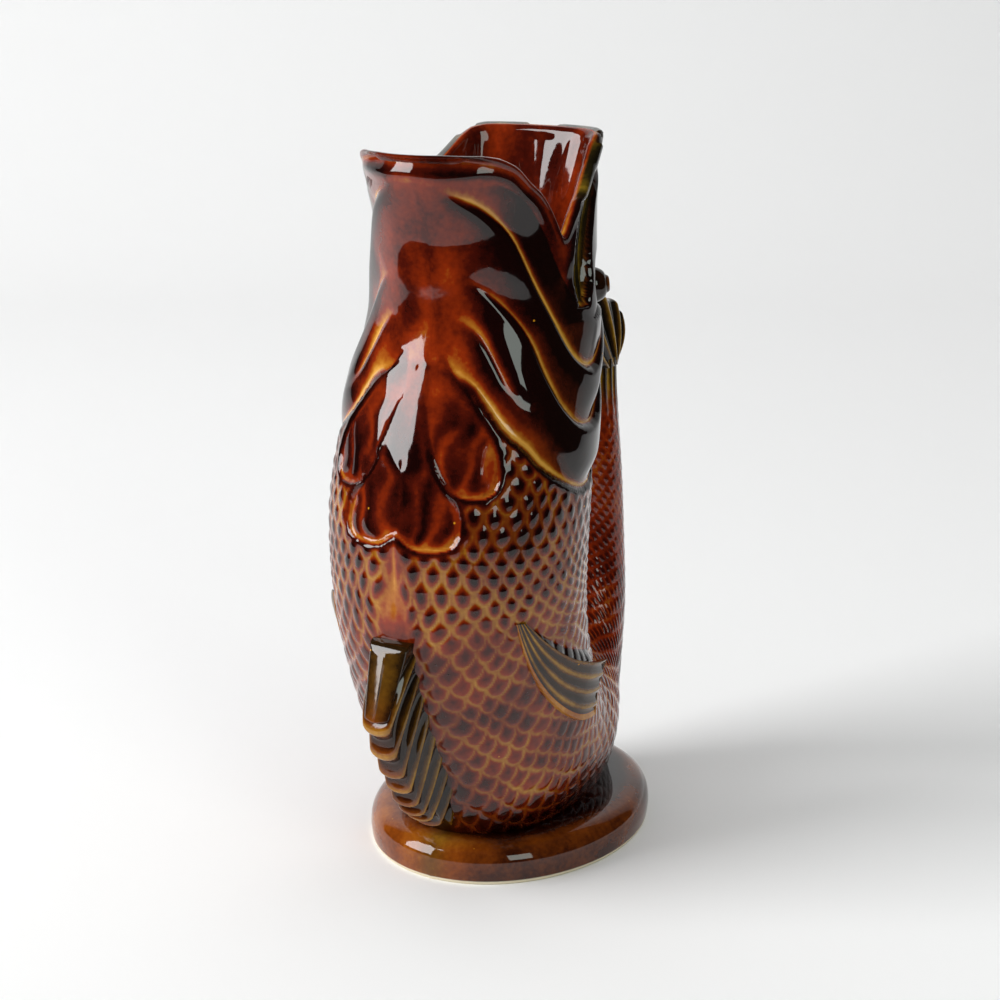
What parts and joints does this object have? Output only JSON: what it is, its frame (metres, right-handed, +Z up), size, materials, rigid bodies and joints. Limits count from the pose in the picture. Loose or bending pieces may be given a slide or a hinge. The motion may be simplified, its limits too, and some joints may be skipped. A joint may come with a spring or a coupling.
{
  "type": "gurgle jug",
  "caption": "Fish-shaped glazed pottery jug on an oval foot: open mouth as spout, hollow upturned tail as handle and gurgling air chamber.",
  "frame": {"origin": "centre of the foot's flat underside", "axes": "+Z up from the foot to the lips, -Y towards the fish's belly and the spout, +Y towards the tail that is the handle, X across; the jug is symmetric about X = 0"},
  "size_m": [0.095, 0.1734, 0.247],
  "materials": {
    "body_glaze": "clear glossy treacle-brown lead-free glaze over white earthenware",
    "foot_glaze": "clear glossy treacle-brown lead-free glaze over white earthenware",
    "fin_glaze": "clear glossy treacle-brown lead-free glaze over white earthenware",
    "red_glaze": "clear glossy treacle-brown lead-free glaze over white earthenware",
    "dark_glaze": "clear glossy treacle-brown lead-free glaze over white earthenware"
  },
  "bodies": {
    "root": {"foot": "foot_glaze", "trunk": "body_glaze", "tail": "body_glaze", "tail_fin": "fin_glaze", "belly_fin": "fin_glaze", "side_fin_right": "fin_glaze", "side_fin_left": "fin_glaze", "gill_cover_right": "red_glaze", "gill_cover_left": "red_glaze", "breast_fin_right": "red_glaze", "breast_fin_left": "red_glaze", "jaw_lobe_right": "dark_glaze", "jaw_lobe_left": "dark_glaze", "eye_right": "dark_glaze", "eye_left": "dark_glaze"}
  },
  "joints": []
}
